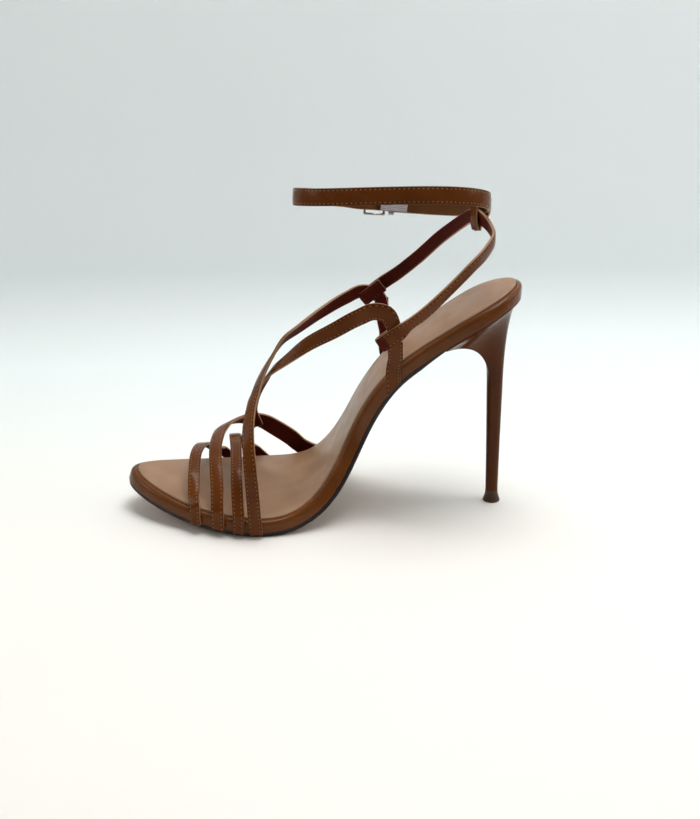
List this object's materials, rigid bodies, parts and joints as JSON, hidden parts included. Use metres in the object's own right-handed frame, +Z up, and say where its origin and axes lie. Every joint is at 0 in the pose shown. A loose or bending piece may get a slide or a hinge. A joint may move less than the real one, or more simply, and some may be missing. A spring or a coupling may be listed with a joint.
{
  "type": "strappy heeled sandal",
  "caption": "Open sandal for a right foot with a tall slim heel: narrow straps cross over the instep, join a slingback strap and meet a buckled ankle strap.",
  "frame": {"origin": "on the floor, under the centre of the sandal's bounding box", "axes": "+X from the toe to the heel, +Y to the outer (lateral) side, +Z up"},
  "size_m": [0.1954, 0.0872, 0.1644],
  "materials": {
    "patent_leather": "nude tan patent, glossy",
    "sock_leather": "matte nude",
    "outsole_leather": "lacquered tan, semi gloss",
    "heel_lacquer": "wrapped in the same glossy nude tan",
    "tip_rubber": "dark brown, semi matte",
    "elastic_web": "grey ribbed elastic",
    "buckle_metal": "polished silver"
  },
  "bodies": {
    "root": {"outsole": "outsole_leather", "insole_board": "patent_leather", "insole_sock": "sock_leather", "heel": "heel_lacquer", "heel_tip": "tip_rubber", "upper": "patent_leather", "toe_strap_first": "patent_leather", "toe_strap_second": "patent_leather", "ankle_strap": "patent_leather", "back_keeper": "patent_leather", "buckle_elastic": "elastic_web", "buckle_frame": "buckle_metal", "buckle_prong": "buckle_metal", "strap_loop": "buckle_metal"}
  },
  "joints": []
}
